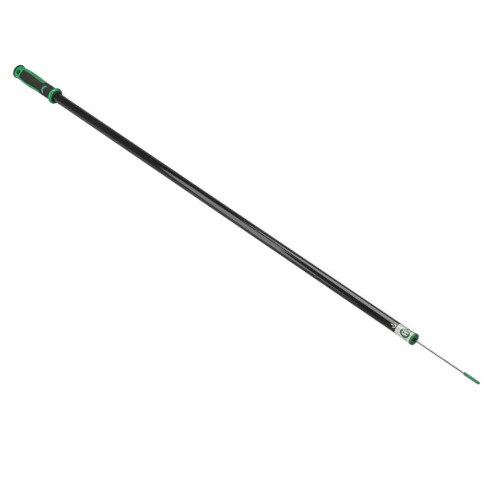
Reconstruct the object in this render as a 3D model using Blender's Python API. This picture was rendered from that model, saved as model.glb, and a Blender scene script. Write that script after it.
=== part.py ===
"""Litter pin pole: a coated aluminium tube with a two-material hand grip, and a steel pin under a pull-off guard.

The pole lies along X with the pin towards +X. It rests on its collar, and the hang hole runs along Z.
Lengths are in millimetres. A distance is measured along the pole from the butt.
Run with: blender --background --python part.py
"""

import math

import bmesh
import bpy
from mathutils import Matrix, Vector

MM = 0.001
ROUND = 48  # segments in a full turn
SMALL_ROUND = 24  # the same for the pin and what is on it
GAP = 0.3  # clearance between pieces that touch

# Whole pole
POLE_LENGTH = 1065.0  # butt to the plug's face
PIN_REACH = 135.0  # plug's face to the end of the guard
OVERALL = POLE_LENGTH + PIN_REACH

# Tube
TUBE_OD = 19.0
TUBE_WALL = 1.2
TUBE_R = TUBE_OD / 2
TUBE_BORE_R = TUBE_R - TUBE_WALL

# Hand grip: a hard core round the tube, and a soft sleeve let into it
CORE_WALL = 1.2
SOFT_DEPTH = 2.2
CORE_BORE_R = TUBE_R + GAP
SLEEVE_R = CORE_BORE_R + CORE_WALL + SOFT_DEPTH
WAIST_RISE = 0.1
SWELL_RISE = 1.6
BUTT_RISE = 0.4
GRIP_FLATNESS = 0.08  # how much thinner the palm swell is front to back

# Butt cap and hang hole
CAP_THICKNESS = 4.4
CAP_FLARE = 1.1  # the cap's rim past the grip's
CAP_EDGE = 2.4  # radius of its rounded edge
STEM_R = 6.0
STEM_LENGTH = 2.6
HOLE_R = 5.2
HOLE_CENTRE = 14.0
HOLE_WEB = 5.4  # solid core between the hang hole and the tube's end
HOLE_BORDER = 2.5  # core between the hang hole and the soft panels

# Where the grip's features lie
PANEL_START = HOLE_CENTRE + HOLE_R + HOLE_BORDER
PANEL_HALF_START = 8.5
PANEL_HALF_SWELL = 9.8
PANEL_HALF_END = 8.0
PANEL_CONCAVITY = 2.5
SWELL_AT = 41.0
WAIST_AT = 8.5
RAIL_END = 84.5
GRIP_END = 116.2
TUBE_START = HOLE_CENTRE + HOLE_R + HOLE_WEB

# Badge: a crescent let into the sleeve
BADGE_AT = 93.5
BADGE_BEND = 8.0  # radius of the crescent's middle line
BADGE_SPREAD = 52.0  # degrees to each side of its middle
BADGE_WIDTH = 3.4
BADGE_DEPTH = 0.9
BADGE_PROUD = 0.35

# Collar and nose in front of the grip
COLLAR_THICKNESS = 8.0
COLLAR_PEAK = 3.5  # the collar's widest point from its back
COLLAR_RISE = 3.5
COLLAR_BACK_DROP = 0.5
COLLAR_MOUTH_WALL = 2.9
COLLAR_R = SLEEVE_R + COLLAR_RISE
NOSE_LENGTH = 3.0
NOSE_WALL = 2.1
NOSE_TAPER = 0.5

# Label and end plug
LABEL_LENGTH = 31.0
LABEL_LIFT = 0.1
LABEL_FILM = 0.25
FLANGE_THICKNESS = 4.2
FLANGE_RISE = 1.0
FLANGE_EDGE = 1.1
SPIGOT_LENGTH = 25.0
SLOT_DEPTH = 3.0  # of the two pockets in the plug's face
SLOT_HALF_WIDTH = 2.9
SLOT_WEB = 0.7  # between each pocket and the hub's well
SLOT_RIM = 1.8  # between each pocket and the flange's edge
REAR_POCKET = 8.5

# Pin, its fixings and its guard
PIN_D = 3.2
STUD_EXTRA = 0.3  # the threaded stud's radius over the pin's
SHOULDER_EXTRA = 0.8
SHOULDER_LENGTH = 3.7
HUB_WALL = 1.0
HUB_SINK = 2.4  # hub's face below the plug's
POINT_LENGTH = 8.0
POINT_R = 0.15
STUD_TAIL = 1.2  # stud past the nut
WASHER_RIM = 3.0
WASHER_THICKNESS = 1.2
NUT_WALL = 1.6
NUT_HEIGHT = 3.2
GUARD_LENGTH = 31.5
GUARD_WALL = 1.0
GUARD_TAPER = 0.3
GUARD_FLOOR = 3.9
GUARD_LIP = 0.4
POINT_CLEAR = 1.0

PIN_R = PIN_D / 2
STUD_R = PIN_R + STUD_EXTRA
SHOULDER_R = PIN_R + SHOULDER_EXTRA
HUB_R = SHOULDER_R + HUB_WALL
GUARD_BORE_R = PIN_R + GAP
GUARD_R = GUARD_BORE_R + GUARD_WALL
SPIGOT_R = TUBE_BORE_R - GAP
FLANGE_R = TUBE_R + FLANGE_RISE
WASHER_R = STUD_R + WASHER_RIM
TUBE_END = POLE_LENGTH - FLANGE_THICKNESS - GAP
GRIP_REACH = 60.0  # half the height of the cutters that go right through the grip
GRIP_PITCH = 6.0  # between the stations of the grip's outer shape

# The collar's lowest facet lies on the floor at z = 0.
AXIS_Z = COLLAR_R * math.cos(math.pi / ROUND)


def clear_scene():
    for old in list(bpy.data.objects):
        bpy.data.objects.remove(old)


def material(name, colour, roughness, metallic=0.0):
    made = bpy.data.materials.new(name)
    made.use_nodes = True
    shader = made.node_tree.nodes["Principled BSDF"]
    shader.inputs["Base Color"].default_value = (*colour, 1)
    shader.inputs["Roughness"].default_value = roughness
    shader.inputs["Metallic"].default_value = metallic
    return made


def add_object(name, bm, finish=None):
    """Turns a bmesh in pole coordinates (distance, y, z from the axis, in mm) into a placed object."""
    bmesh.ops.remove_doubles(bm, verts=bm.verts, dist=1e-4)
    bmesh.ops.recalc_face_normals(bm, faces=bm.faces)
    to_origin = Matrix.Translation((-OVERALL / 2, 0, 0))
    bmesh.ops.transform(bm, matrix=Matrix.Scale(MM, 4) @ to_origin, verts=bm.verts)
    mesh = bpy.data.meshes.new(name)
    bm.to_mesh(mesh)
    bm.free()
    placed = bpy.data.objects.new(name, mesh)
    placed.location = (0, 0, AXIS_Z * MM)
    bpy.context.scene.collection.objects.link(placed)
    if finish:
        mesh.materials.append(finish)
        mesh.shade_smooth()
        mesh.set_sharp_from_angle(angle=math.radians(30))
    else:
        placed.hide_render = True
        placed.display_type = "WIRE"
    return placed


def turned(name, profile, finish=None, segments=ROUND, flatten=False):
    """A body turned about the pole's axis from (distance, radius) points. A profile that leaves the axis is closed."""
    bm = bmesh.new()
    corners = [bm.verts.new((distance, 0, radius)) for distance, radius in profile]
    edges = [bm.edges.new(pair) for pair in zip(corners, corners[1:])]
    if profile[0][1] > 0 or profile[-1][1] > 0:
        edges.append(bm.edges.new((corners[-1], corners[0])))
    half_step = Matrix.Rotation(math.pi / segments, 4, "X")
    bmesh.ops.transform(bm, matrix=half_step, verts=bm.verts)
    bmesh.ops.spin(
        bm,
        geom=corners + edges,
        cent=(0, 0, 0),
        axis=(1, 0, 0),
        angle=2 * math.pi,
        steps=segments,
        use_merge=True,
    )
    if flatten:
        for corner in bm.verts:
            corner.co.z *= 1 - GRIP_FLATNESS * in_runs(palm_swell, corner.co.x)
    return add_object(name, bm, finish)


def prism(name, outline, low, high):
    """A cutter: a flat outline of (distance, y) points, drawn from height low to height high."""
    bm = bmesh.new()
    face = bm.faces.new([bm.verts.new((*point, low)) for point in outline])
    drawn = bmesh.ops.extrude_face_region(bm, geom=[face])
    top = [item for item in drawn["geom"] if isinstance(item, bmesh.types.BMVert)]
    bmesh.ops.translate(bm, vec=(0, 0, high - low), verts=top)
    return add_object(name, bm)


def arc(centre, radius, start, end, steps, rise=None):
    """Points of an arc, with angles in degrees from the distance axis. A rise makes it part of an ellipse."""
    rise = rise or radius
    angles = [math.radians(start + (end - start) * i / steps) for i in range(steps + 1)]
    return [
        (centre[0] + radius * math.cos(a), centre[1] + rise * math.sin(a)) for a in angles
    ]


def boolean(target, other, operation):
    step = target.modifiers.new(operation.lower() + "_" + other.name, "BOOLEAN")
    step.object = other
    step.operation = operation
    step.solver = "EXACT"


def ease(start, end, share):
    """Smooth change from start to end as share goes from 0 to 1."""
    return start + (end - start) * (1 - math.cos(math.pi * share)) / 2


def palm_swell(distance):
    """0 at both ends of the grip's rails and 1 at their middle."""
    share = (distance - WAIST_AT) / (RAIL_END - WAIST_AT)
    return math.sin(math.pi * min(max(share, 0), 1)) ** 2


def grip_radius(distance):
    """The grip's outer radius: butt, waist, palm swell, then a straight sleeve."""
    stations = [
        (CAP_THICKNESS, SLEEVE_R + BUTT_RISE),
        (WAIST_AT, SLEEVE_R + WAIST_RISE),
        (SWELL_AT, SLEEVE_R + SWELL_RISE),
        (RAIL_END, SLEEVE_R),
        (GRIP_END, SLEEVE_R),
    ]
    for (start, low), (end, high) in zip(stations, stations[1:]):
        if distance <= end:
            return ease(low, high, max(0, (distance - start) / (end - start)))
    return SLEEVE_R


def in_runs(shape, distance):
    """A shape along the grip in straight runs between fixed stations, so that bodies cut from it share facets."""
    station, share = divmod(distance / GRIP_PITCH, 1)
    low, high = shape(station * GRIP_PITCH), shape((station + 1) * GRIP_PITCH)
    return low + (high - low) * share


def grip_body(name, start, end, offset, finish=None):
    """The grip's outer shape from start to end, grown or shrunk by an offset, closed on the axis."""
    first, last = math.floor(start / GRIP_PITCH) + 1, math.ceil(end / GRIP_PITCH)
    distances = [start, *(GRIP_PITCH * i for i in range(first, last)), end]
    skin = [(d, in_runs(grip_radius, d) + offset) for d in distances]
    return turned(name, [(start, 0), *skin, (end, 0)], finish, flatten=True)


def panel_half_width(distance):
    """Half the width of the soft panels, widest at the palm swell."""
    if distance < SWELL_AT:
        share = (distance - PANEL_START) / (SWELL_AT - PANEL_START)
        return ease(PANEL_HALF_START, PANEL_HALF_SWELL, max(0, share))
    share = (distance - SWELL_AT) / (RAIL_END - SWELL_AT)
    return ease(PANEL_HALF_SWELL, PANEL_HALF_END, share)


def soft_outline(grow):
    """The soft sleeve seen along Z: a tongue up to the hang hole, and a band as wide as the grip."""
    lean = math.hypot(1, 2 * PANEL_CONCAVITY / PANEL_HALF_START)
    front = []
    for i in range(-3, 4):
        y = (PANEL_HALF_START + grow) * i / 3
        hollow = PANEL_CONCAVITY * (y / PANEL_HALF_START) ** 2
        front.append((PANEL_START - hollow - grow * lean, y))
    steps = 8
    sides = [PANEL_START + (RAIL_END - PANEL_START) * i / steps for i in range(1, steps)]
    half = [(d, panel_half_width(d) + grow) for d in sides]
    half.append((RAIL_END - grow, PANEL_HALF_END + grow))
    half += [(RAIL_END - grow, GRIP_REACH), (GRIP_END + GRIP_REACH, GRIP_REACH)]
    return [(d, -y) for d, y in reversed(half)] + front + half


def badge_outline(grow):
    """A crescent with round ends, its middle towards the butt."""
    half = BADGE_WIDTH / 2 + grow
    bend = (BADGE_AT + BADGE_BEND, 0)
    start, end = 180 - BADGE_SPREAD, 180 + BADGE_SPREAD
    tips = arc(bend, BADGE_BEND, start, end, 1)
    outside = arc(bend, BADGE_BEND + half, start, end, 12)
    inside = arc(bend, BADGE_BEND - half, end, start, 12)
    far_end = arc(tips[1], half, end, end + 180, 6)[1:-1]
    near_end = arc(tips[0], half, start + 180, start + 360, 6)[1:-1]
    return outside + far_end + inside + near_end


def make_grip(hard, soft):
    core = grip_body("grip_core", CAP_THICKNESS + GAP, GRIP_END, 0, hard)
    pocket = prism("cut_soft_pocket", soft_outline(GAP), -GRIP_REACH, GRIP_REACH)
    beyond = GRIP_REACH / 2
    under = grip_body("cut_core_under_soft", -beyond, GRIP_END + beyond, -SOFT_DEPTH - GAP)
    boolean(pocket, under, "DIFFERENCE")
    boolean(core, pocket, "DIFFERENCE")
    bore = [(TUBE_START - GAP, 0), (TUBE_START - GAP, CORE_BORE_R)]
    bore += [(GRIP_END + beyond, CORE_BORE_R), (GRIP_END + beyond, 0)]
    boolean(core, turned("cut_tube_bore", bore), "DIFFERENCE")
    socket_end = CAP_THICKNESS + STEM_LENGTH + GAP
    socket = [(0, 0), (0, STEM_R + GAP), (socket_end, STEM_R + GAP), (socket_end, 0)]
    boolean(core, turned("cut_stem_socket", socket), "DIFFERENCE")
    hole = arc((HOLE_CENTRE, 0), HOLE_R, 0, 360, 32)[:-1]
    hang_hole = prism("cut_hang_hole", hole, -GRIP_REACH, GRIP_REACH)
    boolean(core, hang_hole, "DIFFERENCE")

    sleeve = grip_body("grip_sleeve", CAP_THICKNESS, GRIP_END, 0, soft)
    tee = prism("keep_soft_outline", soft_outline(0), -GRIP_REACH, GRIP_REACH)
    boolean(sleeve, tee, "INTERSECT")
    inside = grip_body("cut_under_sleeve", -beyond, GRIP_END + beyond, -SOFT_DEPTH)
    boolean(sleeve, inside, "DIFFERENCE")
    badge_pocket = prism("cut_badge_pocket", badge_outline(GAP), 0, GRIP_REACH)
    floor = grip_body("cut_badge_floor", 0, GRIP_END, -BADGE_DEPTH - GAP)
    boolean(badge_pocket, floor, "DIFFERENCE")
    boolean(sleeve, badge_pocket, "DIFFERENCE")

    badge = grip_body("grip_badge", RAIL_END, GRIP_END, BADGE_PROUD, hard)
    boolean(badge, prism("keep_badge_outline", badge_outline(0), 0, GRIP_REACH), "INTERSECT")
    boolean(badge, grip_body("cut_under_badge", 0, GRIP_END + beyond, -BADGE_DEPTH), "DIFFERENCE")


def make_butt_cap(rubber):
    rim = SLEEVE_R + BUTT_RISE + CAP_FLARE
    edge = arc((CAP_EDGE, rim - CAP_EDGE), CAP_EDGE, 180, 90, 5)
    back = [(CAP_THICKNESS, rim), (CAP_THICKNESS, STEM_R)]
    stem_end = CAP_THICKNESS + STEM_LENGTH
    stem = [(stem_end, STEM_R), (stem_end, 0)]
    turned("butt_cap", [(0, 0), *edge, *back, *stem], rubber)


def make_collar_and_nose(hard, rubber):
    start = GRIP_END + GAP
    end = start + COLLAR_THICKNESS
    peak = start + COLLAR_PEAK
    back_r = SLEEVE_R - COLLAR_BACK_DROP
    mouth_r = CORE_BORE_R + COLLAR_MOUTH_WALL
    rim = arc((peak, back_r), COLLAR_PEAK, 180, 90, 6, COLLAR_R - back_r)
    rim += arc((peak, mouth_r), end - peak, 90, 0, 7, COLLAR_R - mouth_r)[1:]
    turned("grip_collar", [(start, CORE_BORE_R), *rim, (end, CORE_BORE_R)], hard)

    start = end + GAP
    end = start + NOSE_LENGTH
    outer = CORE_BORE_R + NOSE_WALL
    lip = NOSE_WALL / 2
    edge = arc((end - lip, outer - NOSE_TAPER - lip), lip, 90, 0, 4)
    nose = [(start, CORE_BORE_R), (start, outer), *edge, (end, CORE_BORE_R)]
    turned("grip_nose", nose, rubber)


def make_tube(coat, film):
    wall = [(TUBE_START, TUBE_BORE_R), (TUBE_START, TUBE_R)]
    wall += [(TUBE_END, TUBE_R), (TUBE_END, TUBE_BORE_R)]
    turned("shaft_tube", wall, coat)
    start = TUBE_END - LABEL_LENGTH
    low = TUBE_R + LABEL_LIFT
    high = low + LABEL_FILM
    wrap = [(start, low), (start, high), (TUBE_END, high), (TUBE_END, low)]
    turned("tube_label", wrap, film)


def make_end_plug(hard):
    """The plug's flange and spigot, with a well round the pin, a pocket to each side of it, and one for the nut behind."""
    face = POLE_LENGTH
    back = face - FLANGE_THICKNESS
    rear = back - SPIGOT_LENGTH
    pocket_floor = rear + REAR_POCKET
    pocket_r = WASHER_R + GAP * 2
    bore = STUD_R + GAP
    rim = arc((face - FLANGE_EDGE, FLANGE_R - FLANGE_EDGE), FLANGE_EDGE, 90, 0, 4)
    profile = [(rear, pocket_r), (rear, SPIGOT_R), (back, SPIGOT_R), (back, FLANGE_R), *rim]
    profile += [(face, HUB_R), (face - HUB_SINK, HUB_R), (face - HUB_SINK, bore)]
    profile += [(pocket_floor, bore), (pocket_floor, pocket_r)]
    plug = turned("end_plug", profile, hard)
    slot_floor = face - SLOT_DEPTH
    slot = [(slot_floor, -SLOT_HALF_WIDTH), (face + 1, -SLOT_HALF_WIDTH)]
    slot += [(face + 1, SLOT_HALF_WIDTH), (slot_floor, SLOT_HALF_WIDTH)]
    near, far = HUB_R + SLOT_WEB, FLANGE_R - SLOT_RIM
    boolean(plug, prism("cut_upper_slot", slot, near, far), "DIFFERENCE")
    boolean(plug, prism("cut_lower_slot", slot, -far, -near), "DIFFERENCE")
    return pocket_floor


def make_pin(steel, floor):
    """The pin with its shoulder and stud, and the washer and nut that clamp it behind the plug's floor."""
    seat = POLE_LENGTH - HUB_SINK + GAP
    washer_back = floor - GAP - WASHER_THICKNESS
    nut_back = washer_back - GAP - NUT_HEIGHT
    tip = OVERALL - GUARD_FLOOR - POINT_CLEAR
    shoulder_end = seat + SHOULDER_LENGTH
    stud = [(nut_back - STUD_TAIL, 0), (nut_back - STUD_TAIL, STUD_R), (seat, STUD_R)]
    shoulder = [(seat, SHOULDER_R), (shoulder_end, SHOULDER_R)]
    shank = [(shoulder_end + SHOULDER_EXTRA, PIN_R), (tip - POINT_LENGTH, PIN_R)]
    point = [(tip, POINT_R), (tip, 0)]
    turned("steel_pin", stud + shoulder + shank + point, steel, SMALL_ROUND)

    hole = STUD_R + GAP
    ring = [(washer_back, hole), (washer_back, WASHER_R)]
    ring += [(floor - GAP, WASHER_R), (floor - GAP, hole)]
    turned("pin_washer", ring, steel, SMALL_ROUND)

    corner = (hole + NUT_WALL) / math.cos(math.pi / 6)
    front = washer_back - GAP
    hexagon = [(nut_back, 0), (nut_back, corner), (front, corner), (front, 0)]
    nut = turned("pin_nut", hexagon, steel, 6)
    drill = [(0, 0), (0, hole), (OVERALL, hole), (OVERALL, 0)]
    boolean(nut, turned("cut_nut_thread", drill, segments=SMALL_ROUND), "DIFFERENCE")


def make_guard(hard):
    """A blind tube over the pin's point, with a rounded end."""
    start = OVERALL - GUARD_LENGTH
    lip = [(start, GUARD_BORE_R), (start, GUARD_R - GUARD_LIP), (start + GUARD_LIP, GUARD_R)]
    end_r = GUARD_R - GUARD_TAPER
    dome = arc((OVERALL - end_r, 0), end_r, 90, 0, 6)[:-1]
    floor = OVERALL - GUARD_FLOOR
    outside = lip + dome + [(OVERALL, 0)]
    profile = [(floor, 0), (floor, GUARD_BORE_R), *outside]
    turned("pin_guard", profile, hard, SMALL_ROUND)


def main():
    clear_scene()
    green = material("green_plastic", (0.012, 0.33, 0.11), 0.38)
    black_soft = material("black_soft_grip", (0.022, 0.02, 0.018), 0.75)
    black_coat = material("black_coated_tube", (0.012, 0.012, 0.011), 0.28)
    film = material("label_film", (0.8, 0.82, 0.8), 0.4)
    steel = material("stainless_steel", (0.62, 0.61, 0.59), 0.22, 1.0)
    make_butt_cap(black_soft)
    make_grip(green, black_soft)
    make_collar_and_nose(green, black_soft)
    make_tube(black_coat, film)
    floor = make_end_plug(green)
    make_pin(steel, floor)
    make_guard(green)


main()
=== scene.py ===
import math

import bmesh
import bpy
from mathutils import Matrix, Vector


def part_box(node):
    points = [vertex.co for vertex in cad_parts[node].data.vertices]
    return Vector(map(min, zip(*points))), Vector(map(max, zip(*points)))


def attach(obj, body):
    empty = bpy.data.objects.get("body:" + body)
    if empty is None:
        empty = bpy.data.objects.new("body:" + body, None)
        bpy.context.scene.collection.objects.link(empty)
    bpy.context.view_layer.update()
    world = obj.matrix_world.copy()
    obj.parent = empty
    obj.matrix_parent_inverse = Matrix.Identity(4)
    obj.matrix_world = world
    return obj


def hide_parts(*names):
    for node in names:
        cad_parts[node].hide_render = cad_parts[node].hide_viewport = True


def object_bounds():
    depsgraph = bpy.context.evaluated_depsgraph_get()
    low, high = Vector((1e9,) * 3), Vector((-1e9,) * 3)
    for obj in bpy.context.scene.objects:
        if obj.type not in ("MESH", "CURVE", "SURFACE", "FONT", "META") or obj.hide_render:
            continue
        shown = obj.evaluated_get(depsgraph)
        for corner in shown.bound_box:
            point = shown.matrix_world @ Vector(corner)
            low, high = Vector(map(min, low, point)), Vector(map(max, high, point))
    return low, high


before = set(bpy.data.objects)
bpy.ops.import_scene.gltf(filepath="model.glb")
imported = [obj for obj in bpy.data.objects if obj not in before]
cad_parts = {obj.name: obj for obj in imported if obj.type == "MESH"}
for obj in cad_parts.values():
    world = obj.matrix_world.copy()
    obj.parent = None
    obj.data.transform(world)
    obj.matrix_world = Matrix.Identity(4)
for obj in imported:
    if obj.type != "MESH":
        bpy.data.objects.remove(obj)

CAD_LOW, CAD_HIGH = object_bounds()
MM = 0.001

# Where things lie, from the CAD. Distances run along the pole from the butt, in millimetres.
TUBE_LOW, TUBE_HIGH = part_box("shaft_tube")
BUTT_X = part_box("butt_cap")[0].x
AXIS_Z = (TUBE_LOW.z + TUBE_HIGH.z) / 2

# Sizes that more than one piece shares, in millimetres.
GAP = 0.3  # clearance between pieces that touch
TUBE_WALL = 1.2
HOLE_AT = 14.0  # middle of the hang hole, from the butt
HOLE_R = 5.2
PIN_R = 1.6
STUD_R = 1.9  # of the pin's thread
WELL_DEPTH = 2.4  # of the well in the plug's face
PRINT_TURN = math.radians(7)  # the print's middle, from the top towards +Y
PRINT_LEAD = 18.0  # tube before the label that the tube's print is measured from
MARK_AT = 13.8  # middle of the arrow's head, from the start of that lead


def from_butt(x):
    return (x - BUTT_X) / MM


def span(node):
    low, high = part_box(node)
    return from_butt(low.x), from_butt(high.x)


def radius_of(node):
    low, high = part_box(node)
    return (high.y - low.y) / 2 / MM


# --- Finishes -------------------------------------------------------------------------------------


def new_finish(name, colour, roughness, metallic=0.0, specular=0.5):
    """A Principled material with its even values set on the shader's own sockets."""
    made = bpy.data.materials.new(name)
    made.use_nodes = True
    shader = made.node_tree.nodes["Principled BSDF"]
    shader.inputs["Base Color"].default_value = (*colour, 1)
    shader.inputs["Roughness"].default_value = roughness
    shader.inputs["Metallic"].default_value = metallic
    shader.inputs["Specular IOR Level"].default_value = specular
    return made, made.node_tree, shader


def add_node(tree, kind, values=None, **settings):
    node = tree.nodes.new(kind)
    for key, value in settings.items():
        setattr(node, key, value)
    for key, value in (values or {}).items():
        if isinstance(value, bpy.types.NodeSocket):
            tree.links.new(value, node.inputs[key])
        else:
            node.inputs[key].default_value = value
    return node


def maths(tree, operation, *values):
    values = dict(enumerate(values))
    return add_node(tree, "ShaderNodeMath", values, operation=operation).outputs[0]


def object_place(tree, stretch=(1, 1, 1)):
    """Object coordinates, stretched to draw a pattern out along the pole."""
    place = add_node(tree, "ShaderNodeTexCoord").outputs["Object"]
    return add_node(tree, "ShaderNodeMapping", {"Vector": place, "Scale": stretch}).outputs[0]


def noise(tree, place, scale, detail=3.0, rough=0.55):
    values = {"Vector": place, "Scale": scale, "Detail": detail, "Roughness": rough}
    return add_node(tree, "ShaderNodeTexNoise", values).outputs["Fac"]


def spread(tree, value, low, high, to_low=0.0, to_high=1.0):
    """Maps the range from low to high onto another, from 0 to 1 unless it is given."""
    values = {
        "Value": value,
        "From Min": low,
        "From Max": high,
        "To Min": to_low,
        "To Max": to_high,
    }
    return add_node(tree, "ShaderNodeMapRange", values).outputs[0]


def mix_colour(tree, share, first, second):
    node = add_node(tree, "ShaderNodeMix", data_type="RGBA")
    for key, value in ((0, share), (6, first), (7, second)):
        if isinstance(value, bpy.types.NodeSocket):
            tree.links.new(value, node.inputs[key])
        else:
            node.inputs[key].default_value = value if key == 0 else (*value, 1)
    return node.outputs[2]


def bump(tree, shader, height, distance, strength=1.0):
    values = {"Height": height, "Distance": distance, "Strength": strength}
    made = add_node(tree, "ShaderNodeBump", values)
    tree.links.new(made.outputs[0], shader.inputs["Normal"])


def distance(tree, x, y):
    """How far a point lies from the middle of a plane."""
    squares = maths(tree, "MULTIPLY_ADD", x, x, maths(tree, "MULTIPLY", y, y))
    return maths(tree, "SQRT", squares)


def moulded_plastic(name, colour, worn, roughness, grain=0.00002):
    """Hard moulded plastic: an even fine grain, faint flow marks and slight handling wear."""
    made, tree, shader = new_finish(name, colour, roughness, specular=0.35)
    place = object_place(tree)
    flow = noise(tree, object_place(tree, (0.35, 1, 1)), scale=55, detail=4)
    fine = noise(tree, place, scale=2600, detail=2)
    rubs = noise(tree, object_place(tree, (0.2, 1, 1)), scale=420, detail=5, rough=0.7)
    share = spread(tree, flow, 0.35, 0.7)
    tree.links.new(mix_colour(tree, share, colour, worn), shader.inputs["Base Color"])
    sheen = spread(tree, rubs, 0.3, 0.75, roughness - 0.07, roughness + 0.1)
    tree.links.new(sheen, shader.inputs["Roughness"])
    bump(tree, shader, fine, grain, strength=0.6)
    return made


def plug_plastic():
    """The plug's green plastic, darker than the grip's green as painted shade, with painted shade
    inside the pockets and the well of its face.
    """
    # Painted shade: a near-black green for the pockets and the face's well, where shade falls.
    painted_shade_colour = (0.002, 0.012, 0.003)
    painted_shade_radius = 0.0088
    # The plug's green is darker than the grip's: painted shade on the plug.
    made = moulded_plastic("plug_green_plastic", (0.022, 0.21, 0.06), (0.032, 0.25, 0.08), 0.3)
    tree = made.node_tree
    shader = tree.nodes["Principled BSDF"]
    colour = shader.inputs["Base Color"].links[0].from_socket
    parts = add_node(tree, "ShaderNodeSeparateXYZ", {0: object_place(tree)}).outputs
    face = BUTT_X + span("end_plug")[1] * MM
    z = maths(tree, "SUBTRACT", parts[2], AXIS_Z)
    inside = spread(tree, distance(tree, parts[1], z), painted_shade_radius, painted_shade_radius + 0.0002, 1.0, 0.0)
    sunk = spread(tree, parts[0], face - 0.0008, face - 0.0003, 1.0, 0.0)
    # Painted shade inside that radius and below the face plane.
    painted_shade_mask = maths(tree, "MULTIPLY", inside, sunk)
    tree.links.new(mix_colour(tree, painted_shade_mask, colour, painted_shade_colour), shader.inputs["Base Color"])
    return made


def soft_rubber(name, colour, dusty, roughness):
    """Soft grip rubber: a spark-eroded stipple, and a little pale dust in it."""
    made, tree, shader = new_finish(name, colour, roughness, specular=0.25)
    place = object_place(tree)
    stipple = add_node(tree, "ShaderNodeTexVoronoi", {"Vector": place, "Scale": 1500.0})
    fine = noise(tree, place, scale=3200, detail=2)
    cells = stipple.outputs["Distance"]
    height = maths(tree, "ADD", cells, maths(tree, "MULTIPLY", fine, 0.5))
    dust = spread(tree, noise(tree, place, scale=90, detail=5, rough=0.65), 0.42, 0.78)
    tree.links.new(mix_colour(tree, dust, colour, dusty), shader.inputs["Base Color"])
    matt = spread(tree, dust, 0.0, 1.0, roughness - 0.04, roughness + 0.1)
    tree.links.new(matt, shader.inputs["Roughness"])
    bump(tree, shader, height, 0.00006, strength=0.5)
    return made


def capsule(tree, along, across, centre, reach, radius, turn=0.0, line=None):
    """1 inside a round-ended bar on the print, in millimetres. With a line, only its outline."""
    edge = 0.06
    c, s = math.cos(math.radians(turn)), math.sin(math.radians(turn))
    x = maths(tree, "SUBTRACT", along, centre[0])
    y = maths(tree, "SUBTRACT", across, centre[1])
    turned_x = maths(tree, "MULTIPLY_ADD", x, c, maths(tree, "MULTIPLY", y, s))
    turned_y = maths(tree, "MULTIPLY_ADD", y, c, maths(tree, "MULTIPLY", x, -s))
    past = maths(tree, "SUBTRACT", maths(tree, "ABSOLUTE", turned_x), reach)
    past = maths(tree, "MAXIMUM", past, 0.0)
    away = maths(tree, "SUBTRACT", distance(tree, past, turned_y), radius)
    if line:
        away = maths(tree, "SUBTRACT", maths(tree, "ABSOLUTE", away), line / 2)
    return spread(tree, away, -edge, edge, 1.0, 0.0)


def wrapped_place(tree):
    """Distance along the print and round it, in millimetres, from the piece's own UV map."""
    uv = add_node(tree, "ShaderNodeUVMap", uv_map="wrap").outputs[0]
    parts = add_node(tree, "ShaderNodeSeparateXYZ", {0: uv})
    return parts.outputs[0], parts.outputs[1]


def coated_tube():
    """Gloss black coating: faint orange peel, long hairline rubs, and a small printed arrow."""
    black, dusty, print_white = (0.0095, 0.0095, 0.0095), (0.016, 0.016, 0.0155), (0.75, 0.76, 0.74)
    made, tree, shader = new_finish("gloss_black_coating", black, 0.06, specular=0.45)
    place = object_place(tree)
    peel = noise(tree, place, scale=380, detail=2)
    rubs = noise(tree, object_place(tree, (0.03, 1, 1)), scale=900, detail=4, rough=0.7)
    haze = noise(tree, object_place(tree, (0.3, 1, 1)), scale=26, detail=4)
    scuffed = spread(tree, rubs, 0.35, 0.8, 0.0, 0.025)
    sheen = maths(tree, "ADD", scuffed, spread(tree, haze, 0.3, 0.7, 0.03, 0.055))
    tree.links.new(sheen, shader.inputs["Roughness"])
    along, across = wrapped_place(tree)
    stroke, barb, slant = 0.75, 2.6, 38
    arrow = capsule(tree, along, across, (MARK_AT - 4.6, 0), 1.9, stroke)
    for side in (-1, 1):
        arm = capsule(tree, along, across, (MARK_AT, 2.1 * side), barb, stroke, -slant * side)
        arrow = maths(tree, "MAXIMUM", arrow, arm)
    worn = noise(tree, place, scale=1400, detail=3)
    arrow = maths(tree, "MULTIPLY", arrow, spread(tree, worn, 0.28, 0.42, 0.55))
    dust = spread(tree, haze, 0.45, 0.8)
    coat = mix_colour(tree, dust, black, dusty)
    tree.links.new(mix_colour(tree, arrow, coat, print_white), shader.inputs["Base Color"])
    bump(tree, shader, peel, 0.00001, strength=0.3)
    return made


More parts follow.
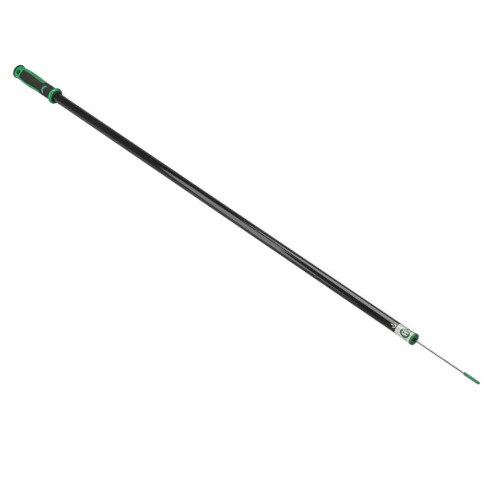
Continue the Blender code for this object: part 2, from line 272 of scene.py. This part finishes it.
def printed_film():
    """White film with a green round-ended ring, bars and a thin grey line, all plain shapes, and a
    painted highlight on the ring's upper side.
    """
    white, aged, grey = (0.79, 0.8, 0.78), (0.74, 0.76, 0.74), (0.33, 0.34, 0.33)
    line_at = 4.4
    deep, mid, pale = (0.003, 0.1, 0.018), (0.075, 0.31, 0.09), (0.2, 0.42, 0.26)
    made, tree, shader = new_finish("printed_label_film", white, 0.34, specular=0.4)
    place = object_place(tree)
    along, across = wrapped_place(tree)
    blotch = spread(tree, noise(tree, place, scale=120, detail=4), 0.3, 0.7)
    paint = mix_colour(tree, blotch, white, aged)
    from_line = maths(tree, "ABSOLUTE", maths(tree, "SUBTRACT", along, line_at))
    paint = mix_colour(tree, spread(tree, from_line, 0.35, 0.55, 1.0, 0.0), paint, grey)
    # The ring's upper side is a paler green: a painted highlight where light glints on the film.
    painted_highlight_top = spread(tree, across, -3.4, -2.2, 1.0, 0.0)
    outline = capsule(tree, along, across, (18.3, 0.2), 2.7, 5.2, line=3.4)
    paint = mix_colour(tree, outline, paint, mix_colour(tree, painted_highlight_top, deep, mid))
    bars = (
        ((16.2, 0.3), 1.3, 1.2, 0, deep),
        ((21.9, -0.1), 1.2, 1.1, 0, deep),
        ((18.3, -10.3), 3.0, 1.3, -66, mid),
        ((24.6, -11.6), 2.2, 1.2, -66, mid),
        ((20.4, 8.9), 4.2, 0.9, 8, pale),
        ((22.4, 11.8), 3.6, 1.0, 8, mid),
        ((12.6, 14.0), 3.0, 0.5, 0, mid),
        ((12.6, 16.0), 2.4, 0.5, 0, mid),
    )
    for centre, reach, radius, turn, ink in bars:
        mask = capsule(tree, along, across, centre, reach, radius, turn)
        paint = mix_colour(tree, mask, paint, ink)
    tree.links.new(paint, shader.inputs["Base Color"])
    ripple = noise(tree, place, scale=260, detail=2)
    bump(tree, shader, ripple, 0.00004, strength=0.3)
    return made


def drawn_steel():
    """Drawn steel with lines along its length, with painted shade at its root where it leaves the
    plug.
    """
    # The last of these colours is painted shade for the pin's root.
    bright, stained, painted_root_colour = (0.24, 0.24, 0.235), (0.19, 0.185, 0.18), (0.03, 0.036, 0.03)
    made, tree, shader = new_finish("bright_drawn_steel", bright, 0.2, metallic=1.0)
    place = object_place(tree)
    lines = noise(tree, object_place(tree, (0.02, 1, 1)), scale=4000, detail=4, rough=0.7)
    stain = noise(tree, object_place(tree, (0.4, 1, 1)), scale=110, detail=4)
    share = spread(tree, stain, 0.4, 0.75)
    drawn = mix_colour(tree, share, bright, stained)
    # Painted shade from the pin's seat in the well to 1.2 mm past the plug's face.
    root = BUTT_X + (span("end_plug")[1] + 1.2) * MM
    x = add_node(tree, "ShaderNodeSeparateXYZ", {0: place}).outputs[0]
    painted_root_shade = spread(tree, x, root - 0.0003, root + 0.0003, 1.0, 0.0)
    tree.links.new(mix_colour(tree, painted_root_shade, drawn, painted_root_colour), shader.inputs["Base Color"])
    tree.links.new(spread(tree, lines, 0.3, 0.7, 0.1, 0.22), shader.inputs["Roughness"])
    bump(tree, shader, lines, 0.000012, strength=0.5)
    return made


# --- Modelling ------------------------------------------------------------------------------------


def place_on_pole(bm):
    """From millimetres along and round the pole to the frame's metres."""
    move = Matrix.Translation((BUTT_X, 0, AXIS_Z)) @ Matrix.Scale(MM, 4)
    bmesh.ops.transform(bm, matrix=move, verts=bm.verts)


def finish_piece(name, bm, finish, node, body="pole", sharp=35):
    mesh = bpy.data.meshes.new(name)
    bm.to_mesh(mesh)
    bm.free()
    mesh.shade_smooth()
    mesh.set_sharp_from_angle(angle=math.radians(sharp))
    piece = bpy.data.objects.new(name, mesh)
    bpy.context.scene.collection.objects.link(piece)
    mesh.materials.append(finish)
    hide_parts(node)
    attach(piece, body)
    return piece


def supported(profile, inset=0.6):
    """Adds a point near each end of every long run, which keeps rounded edges from shading it."""
    made = [profile[0]]
    for first, second in zip(profile, profile[1:]):
        run = Vector(second) - Vector(first)
        if run.length > 4 * inset:
            step = run.normalized() * inset
            made += [tuple(Vector(first) + step), tuple(Vector(second) - step)]
        made.append(second)
    return made


def spun(profile, segments):
    """A solid turned about the pole's axis from (distance, radius) points."""
    profile = supported(profile)
    bm = bmesh.new()
    corners = [bm.verts.new((distance, 0, radius)) for distance, radius in profile]
    edges = [bm.edges.new(pair) for pair in zip(corners, corners[1:])]
    if profile[0][1] > 0 or profile[-1][1] > 0:  # a profile off the axis is closed
        edges.append(bm.edges.new((corners[-1], corners[0])))
    bmesh.ops.spin(
        bm,
        geom=corners + edges,
        cent=(0, 0, 0),
        axis=(1, 0, 0),
        angle=2 * math.pi,
        steps=segments,
        use_merge=True,
    )
    bmesh.ops.remove_doubles(bm, verts=bm.verts, dist=1e-4)
    bmesh.ops.recalc_face_normals(bm, faces=bm.faces)
    return bm


def soften(bm, width, segments=3, angle=32):
    """Rounds every edge that turns more than the angle."""
    edges = [e for e in bm.edges if e.is_manifold and e.calc_face_angle() > math.radians(angle)]
    bmesh.ops.bevel(
        bm,
        geom=edges,
        offset=width,
        segments=segments,
        profile=0.5,
        affect="EDGES",
        clamp_overlap=True,
        material=-1,
    )
    bmesh.ops.remove_doubles(bm, verts=bm.verts, dist=1e-4)
    bmesh.ops.recalc_face_normals(bm, faces=bm.faces)


def wrap_uv(bm, start, radius, turn):
    """UVs in millimetres: distance from a start, and arc length round the pole from a turn."""
    layer = bm.loops.layers.uv.new("wrap")
    for face in bm.faces:
        middle = face.calc_center_median()
        centre = math.atan2(middle.y, middle.z) - turn
        centre = (centre + math.pi) % (2 * math.pi) - math.pi
        for loop in face.loops:
            at = loop.vert.co
            angle = math.atan2(at.y, at.z) - turn
            angle = centre + (angle - centre + math.pi) % (2 * math.pi) - math.pi
            loop[layer].uv = (at.x - start, -angle * radius)


def arc(centre, radius, start, end, steps, rise=None):
    """Points on an arc between two angles in degrees, or on an ellipse where a rise is given."""
    rise = rise or radius
    angles = [math.radians(start + (end - start) * i / steps) for i in range(steps + 1)]
    return [(centre[0] + radius * math.cos(a), centre[1] + rise * math.sin(a)) for a in angles]


def evaluated(maker):
    """A bmesh of an object as its modifiers leave it."""
    depsgraph = bpy.context.evaluated_depsgraph_get()
    made = bmesh.new()
    made.from_mesh(bpy.data.meshes.new_from_object(maker.evaluated_get(depsgraph)))
    return made


def cut(bm, cutter):
    """The first solid less the second. Both are in millimetres on the pole."""
    made = []
    for solid in (bm, cutter):
        mesh = bpy.data.meshes.new("rough_cut")
        solid.to_mesh(mesh)
        solid.free()
        made.append(bpy.data.objects.new("rough_cut", mesh))
        bpy.context.scene.collection.objects.link(made[-1])
    step = made[0].modifiers.new("pocket", "BOOLEAN")
    step.object = made[1]
    step.operation = "DIFFERENCE"
    step.solver = "EXACT"
    result = evaluated(made[0])
    for rough in made:
        bpy.data.objects.remove(rough)
    return result


def block(low, high):
    """A box between two corners."""
    bm = bmesh.new()
    bmesh.ops.create_cube(bm, size=1)
    low, high = Vector(low), Vector(high)
    for corner in bm.verts:
        corner.co = Vector([l + (h - l) * (c + 0.5) for l, h, c in zip(low, high, corner.co)])
    return bm


def moulded_copy(node, voxel, rounds, extras=()):
    """A CAD node's solid, joined with any extra solids, with its edges rounded as moulded."""
    bm = bmesh.new()
    bm.from_mesh(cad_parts[node].data)
    for extra in extras:
        mesh = bpy.data.meshes.new("extra")
        extra.to_mesh(mesh)
        extra.free()
        bm.from_mesh(mesh)
        bpy.data.meshes.remove(mesh)
    bmesh.ops.remove_doubles(bm, verts=bm.verts, dist=1e-6)
    # A tilted grid keeps the long edges free of steps.
    tilt = Matrix.Rotation(0.6, 4, "Z") @ Matrix.Rotation(0.4, 4, "Y")
    bm.transform(tilt)
    rough = bpy.data.meshes.new("rough_" + node)
    bm.to_mesh(rough)
    bm.free()
    maker = bpy.data.objects.new("rough_" + node, rough)
    bpy.context.scene.collection.objects.link(maker)
    remesh = maker.modifiers.new("even_skin", "REMESH")
    remesh.mode = "VOXEL"
    remesh.voxel_size = voxel * MM
    relax = maker.modifiers.new("rounded_edges", "SMOOTH")
    relax.factor = 0.5
    relax.iterations = rounds
    made = evaluated(maker)
    made.transform(tilt.inverted())
    bpy.data.objects.remove(maker)
    return made


# --- The pole's pieces ----------------------------------------------------------------------------


def make_tube(finish):
    start, end = span("shaft_tube")
    radius = radius_of("shaft_tube")
    bore = radius - TUBE_WALL
    bm = spun([(start, bore), (start, radius), (end, radius), (end, bore)], 128)
    soften(bm, 0.25, 2)
    wrap_uv(bm, span("tube_label")[0] - PRINT_LEAD, radius, PRINT_TURN)
    place_on_pole(bm)
    finish_piece("shaft_tube_coated", bm, finish, "shaft_tube")


def make_label(finish):
    start, end = span("tube_label")
    outer = radius_of("tube_label")
    lift, film = 0.03, 0.16
    inner = radius_of("shaft_tube") + lift
    bm = spun([(start, inner), (start, inner + film), (end, inner + film), (end, inner)], 128)
    soften(bm, 0.05, 2)
    wrap_uv(bm, start, outer, PRINT_TURN)
    place_on_pole(bm)
    finish_piece("tube_label_printed", bm, finish, "tube_label")


def make_butt_cap(finish):
    start, end = span("butt_cap")
    rim = radius_of("butt_cap")
    edge, thickness, stem = 2.3, 4.4, 6.0
    dish_floor, groove_floor = start + 0.5, start + 0.45
    dish = [(dish_floor, 0), (dish_floor, 3.0), (start, 3.6)]
    groove = [(start, 8.6), (groove_floor, 8.9), (groove_floor, 9.7), (start, 10.0)]
    side = arc((start + edge, rim - edge), edge, 180, 90, 8)
    back = [(start + thickness, rim), (start + thickness, stem), (end, stem), (end, 0)]
    bm = spun(dish + groove + side + back, 96)
    soften(bm, 0.18, 2, 25)
    place_on_pole(bm)
    finish_piece("butt_cap_rubber", bm, finish, "butt_cap")


def hole_bead(side, surface):
    """A raised bead round one mouth of the hang hole, on a grip surface of that radius."""
    bead_r, offset = 0.75, 0.55
    bm = bmesh.new()
    circle = bmesh.ops.create_circle(bm, segments=12, radius=bead_r * MM)["verts"]
    stand = Matrix.Rotation(math.pi / 2, 4, "X")
    out = Matrix.Translation(((HOLE_R + offset) * MM, 0, 0))
    bmesh.ops.transform(bm, matrix=out @ stand, verts=circle)
    edges = list(bm.edges)
    bmesh.ops.spin(
        bm,
        geom=circle + edges,
        cent=(0, 0, 0),
        axis=(0, 0, 1),
        angle=2 * math.pi,
        steps=72,
        use_merge=True,
    )
    bmesh.ops.remove_doubles(bm, verts=bm.verts, dist=1e-7)
    for corner in bm.verts:
        corner.co.z += math.sqrt((surface * MM) ** 2 - corner.co.y**2) * side
    bmesh.ops.translate(bm, vec=(BUTT_X + HOLE_AT * MM, 0, AXIS_Z), verts=bm.verts)
    bmesh.ops.recalc_face_normals(bm, faces=bm.faces)
    return bm


def make_grip(hard, soft, badge_finish):
    butt_surface = 13.35
    beads = [hole_bead(side, butt_surface) for side in (1, -1)]
    core = moulded_copy("grip_core", 0.53, 12, beads)
    finish_piece("grip_core_moulded", core, hard, "grip_core", sharp=70)
    sleeve = moulded_copy("grip_sleeve", 0.5, 15)
    finish_piece("grip_sleeve_moulded", sleeve, soft, "grip_sleeve", sharp=70)
    badge = moulded_copy("grip_badge", 0.25, 3)
    finish_piece("grip_badge_moulded", badge, badge_finish, "grip_badge", sharp=70)


def make_collar(finish):
    start, end = span("grip_collar")
    widest = radius_of("grip_collar")
    bore = radius_of("shaft_tube") + GAP
    back_r, mouth_r, peak = 12.8, 12.75, start + 3.5
    rim = arc((peak, back_r), peak - start, 180, 90, 12, widest - back_r)
    rim += arc((peak, mouth_r), end - peak, 90, 0, 16, widest - mouth_r)[1:]
    mouth_floor = end - 1.6
    mouth = [(end, 12.35), (mouth_floor, 12.05), (mouth_floor, bore)]
    bm = spun([(start, bore), *rim, *mouth], 128)
    soften(bm, 0.25, 2, 40)
    place_on_pole(bm)
    finish_piece("grip_collar_moulded", bm, finish, "grip_collar")


def make_nose(finish):
    start, end = span("grip_nose")
    outer = radius_of("grip_nose")
    bore = radius_of("shaft_tube") + 0.2
    lip, taper, tuck = 0.8, 0.4, 1.5
    back = start - tuck
    edge = arc((end - lip, outer - taper - lip), lip, 90, 0, 8)
    bm = spun([(back, bore), (back, outer - 0.2), (start + 1, outer), *edge, (end, bore)], 96)
    soften(bm, 0.3, 2, 40)
    place_on_pole(bm)
    finish_piece("grip_nose_rubber", bm, finish, "grip_nose")


def make_end_plug(finish):
    rear, face = span("end_plug")
    flange = radius_of("end_plug")
    back = span("tube_label")[1] + GAP
    spigot = radius_of("shaft_tube") - TUBE_WALL - GAP
    well, bore, edge = 3.4, STUD_R + GAP, 1.1
    recess, floor, well_floor = 5.46, rear + 8.5, face - WELL_DEPTH
    rim = arc((face - edge, flange - edge), edge, 90, 0, 8)
    profile = [(rear, recess), (rear, spigot), (back, spigot), (back, flange), *rim]
    profile += [(face, well), (well_floor, well), (well_floor, bore)]
    profile += [(floor, bore), (floor, recess)]
    bm = spun(profile, 96)
    half_width, near, far = 2.9, well + 0.7, flange - 1.8
    pocket_floor, past_face = face - 3, face + 1
    for low, high in ((near, far), (-far, -near)):
        pocket = block((pocket_floor, -half_width, low), (past_face, half_width, high))
        bm = cut(bm, pocket)
    soften(bm, 0.2, 2, 40)
    place_on_pole(bm)
    finish_piece("end_plug_moulded", bm, finish, "end_plug")


def make_pin(finish):
    tail, tip = span("steel_pin")
    shoulder = radius_of("steel_pin")
    seat = span("end_plug")[1] - WELL_DEPTH + GAP
    thread_end = seat - 1.5
    pitch, depth, chamfer = 0.7, 0.28, 0.5
    thread = [(tail, 0), (tail, STUD_R - chamfer)]
    turns = int((thread_end - tail - 2 * chamfer) / pitch)
    for i in range(turns):
        at = tail + chamfer + i * pitch
        thread += [(at, STUD_R - depth), (at + pitch / 2, STUD_R)]
    shoulder_end, neck, point = seat + 3.7, seat + 4.5, 8
    body = [(thread_end, STUD_R), (seat, STUD_R), (seat, shoulder), (shoulder_end, shoulder)]
    body += [(neck, PIN_R), (tip - point, PIN_R), (tip - point / 2, PIN_R * 0.52), (tip, 0.0)]
    bm = spun(thread + body, 48)
    place_on_pole(bm)
    finish_piece("steel_pin_drawn", bm, finish, "steel_pin", sharp=40)


def make_fixings(finish):
    start, end = span("pin_washer")
    bore, rim = STUD_R + GAP, 4.9
    bm = spun([(start, bore), (start, rim), (end, rim), (end, bore)], 64)
    soften(bm, 0.15, 2)
    place_on_pole(bm)
    finish_piece("pin_washer_steel", bm, finish, "pin_washer")
    nut = bmesh.new()
    nut.from_mesh(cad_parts["pin_nut"].data)
    bmesh.ops.remove_doubles(nut, verts=nut.verts, dist=1e-6)
    bmesh.ops.dissolve_limit(nut, angle_limit=0.01, verts=nut.verts, edges=nut.edges)
    soften(nut, 0.15 * MM, 2, 50)
    finish_piece("pin_nut_steel", nut, finish, "pin_nut")


def make_guard(finish):
    start, end = span("pin_guard")
    outer = radius_of("pin_guard")
    bore, taper = PIN_R + GAP, 0.3
    floor, lip_r = end - 3.9, outer - 0.1
    tip_r = outer - taper
    dome = arc((end - tip_r, 0), tip_r, 90, 0, 12)[:-1]
    lip = [(start, bore), (start, lip_r), (start + 1.3, lip_r), (start + 1.5, outer)]
    bm = spun([(floor, 0), (floor, bore), *lip, *dome, (end, 0)], 64)
    soften(bm, 0.2, 3, 50)
    place_on_pole(bm)
    finish_piece("pin_guard_moulded", bm, finish, "pin_guard", body="guard")


# --- Studio ---------------------------------------------------------------------------------------


def make_camera():
    """Looks down from beyond the pin end, with the pole running from corner to corner."""
    right = Vector((0.6903, 0.5026, -0.5204))
    up = Vector((-0.4762, 0.8571, 0.1956))
    back = Vector((0.5446, 0.1130, 0.8312))
    aim = Vector((BUTT_X + 0.7035, 0, AXIS_Z))
    data = bpy.data.cameras.new("camera")
    data.sensor_width = 36
    data.lens = 104.4
    camera = bpy.data.objects.new("camera", data)
    bpy.context.scene.collection.objects.link(camera)
    turn = Matrix((right, up, back)).transposed().to_4x4()
    stand_off, nudge = Vector((1.3870, 0.2557, 2.1210)), right * 0.00023 + up * 0.00034
    camera.matrix_world = Matrix.Translation(aim + stand_off + nudge) @ turn
    bpy.context.scene.camera = camera


def ray_kinds(tree):
    """1 for camera rays, and 1 for glossy and transmission rays."""
    path = add_node(tree, "ShaderNodeLightPath").outputs
    seen_in = maths(tree, "MAXIMUM", path["Is Glossy Ray"], path["Is Transmission Ray"])
    return path["Is Camera Ray"], seen_in


def make_world(ambient, dim):
    """White to the camera. In reflections, white low down beyond the butt and dim elsewhere."""
    world = bpy.data.worlds.new("studio")
    bpy.context.scene.world = world
    world.use_nodes = True
    tree = world.node_tree
    tree.nodes.clear()
    camera, glossy = ray_kinds(tree)
    way = add_node(tree, "ShaderNodeTexCoord").outputs["Generated"]
    bright_way = Vector((-0.83, -0.55, 0.05)).normalized()
    pair = {0: way, 1: bright_way}
    facing = add_node(tree, "ShaderNodeVectorMath", pair, operation="DOT_PRODUCT").outputs["Value"]
    shown = spread(tree, facing, 0.8, 0.95, dim)
    levels = {0: glossy, 2: ambient, 3: shown}
    unseen = add_node(tree, "ShaderNodeMix", levels, data_type="FLOAT").outputs[0]
    strength = maths(tree, "MAXIMUM", unseen, camera)
    light = add_node(tree, "ShaderNodeBackground", {"Color": (1, 1, 1, 1), "Strength": strength})
    out = add_node(tree, "ShaderNodeOutputWorld")
    tree.links.new(light.outputs[0], out.inputs["Surface"])


def make_floor(glow, glossy_glow):
    """A pale floor that keeps the shadow. Its glow makes it white to the camera."""
    grey, half_size = (0.34, 0.34, 0.34, 1), 15
    made = bpy.data.materials.new("pale_floor")
    made.use_nodes = True
    tree = made.node_tree
    tree.nodes.clear()
    matt = add_node(tree, "ShaderNodeBsdfDiffuse", {"Color": grey})
    camera, glossy = ray_kinds(tree)
    reflected = maths(tree, "MULTIPLY", glossy, glossy_glow)
    strength = maths(tree, "MULTIPLY_ADD", camera, glow, reflected)
    light = add_node(tree, "ShaderNodeEmission", {"Strength": strength})
    both = add_node(tree, "ShaderNodeAddShader", {0: matt.outputs[0], 1: light.outputs[0]})
    out = add_node(tree, "ShaderNodeOutputMaterial")
    tree.links.new(both.outputs[0], out.inputs["Surface"])
    bm = bmesh.new()
    bmesh.ops.create_grid(bm, x_segments=1, y_segments=1, size=half_size)
    mesh = bpy.data.meshes.new("floor")
    bm.to_mesh(mesh)
    bm.free()
    mesh.materials.append(made)
    floor = bpy.data.objects.new("floor", mesh)
    floor.location.z = CAD_LOW.z
    bpy.context.scene.collection.objects.link(floor)


def softbox(name, centre, side, facing, size, radiance, lights=True):
    """A rectangular lamp with its first edge along a side. One that doesn't light only glints."""
    data = bpy.data.lights.new(name, "AREA")
    data.shape = "RECTANGLE"
    data.size, data.size_y = size
    data.energy = radiance * math.pi * size[0] * size[1]
    lamp = bpy.data.objects.new(name, data)
    across = Vector(side).normalized()
    back = -Vector(facing).normalized()
    axes = Matrix((across, back.cross(across), back)).transposed().to_4x4()
    lamp.matrix_world = Matrix.Translation(centre) @ axes
    lamp.visible_camera = False
    lamp.visible_diffuse = lights
    bpy.context.scene.collection.objects.link(lamp)


def make_studio():
    make_camera()
    make_world(ambient=0.34, dim=0.15)
    make_floor(glow=0.8, glossy_glow=0.05)
    softbox(
        "long_softbox",
        centre=(-0.721, -0.068, 1.079),
        side=(-0.907, -0.113, -0.407),
        facing=(0.338, 0.384, -0.859),
        size=(0.4, 1.86),
        radiance=4.3,
    )
    softbox(
        "side_softbox",
        centre=(-0.529, 1.457, 0.69),
        side=(0.516, 0.05, -0.855),
        facing=(-0.57, -0.725, -0.387),
        size=(1.72, 1.53),
        radiance=6.5,
        lights=False,
    )
    fill_size, fill = (1.5, 1.2), 2.0
    softbox("left_fill", (0.8, -1.4, 1.6), (0.87, 0.5, 0), (-0.8, 1.4, -1.6), fill_size, fill)
    softbox("right_fill", (0.9, 1.4, 1.6), (0.87, -0.5, 0), (-0.9, -1.4, -1.6), fill_size, fill)


def main():
    grip_green = moulded_plastic(
        "grip_green_plastic", (0.008, 0.36, 0.1), (0.014, 0.41, 0.125), 0.36
    )
    badge_green = moulded_plastic(
        "badge_green_plastic", (0.04, 0.42, 0.22), (0.055, 0.47, 0.26), 0.4
    )
    plug_green = plug_plastic()
    guard_green = moulded_plastic(
        "guard_green_plastic", (0.03, 0.28, 0.125), (0.04, 0.32, 0.145), 0.14, grain=0.000006
    )
    rubber, dusty_rubber = (0.018, 0.0145, 0.0137), (0.028, 0.0235, 0.022)
    grip_rubber = soft_rubber("grip_soft_rubber", rubber, dusty_rubber, 0.66)
    cap_rubber = soft_rubber("cap_rubber", (0.009, 0.0085, 0.008), (0.016, 0.015, 0.014), 0.55)
    coating = coated_tube()
    film = printed_film()
    steel = drawn_steel()
    make_tube(coating)
    make_label(film)
    make_butt_cap(cap_rubber)
    make_grip(grip_green, grip_rubber, badge_green)
    make_collar(grip_green)
    make_nose(cap_rubber)
    make_end_plug(plug_green)
    make_pin(steel)
    make_fixings(steel)
    make_guard(guard_green)
    make_studio()
    bpy.context.scene.view_settings.view_transform = "Standard"


main()
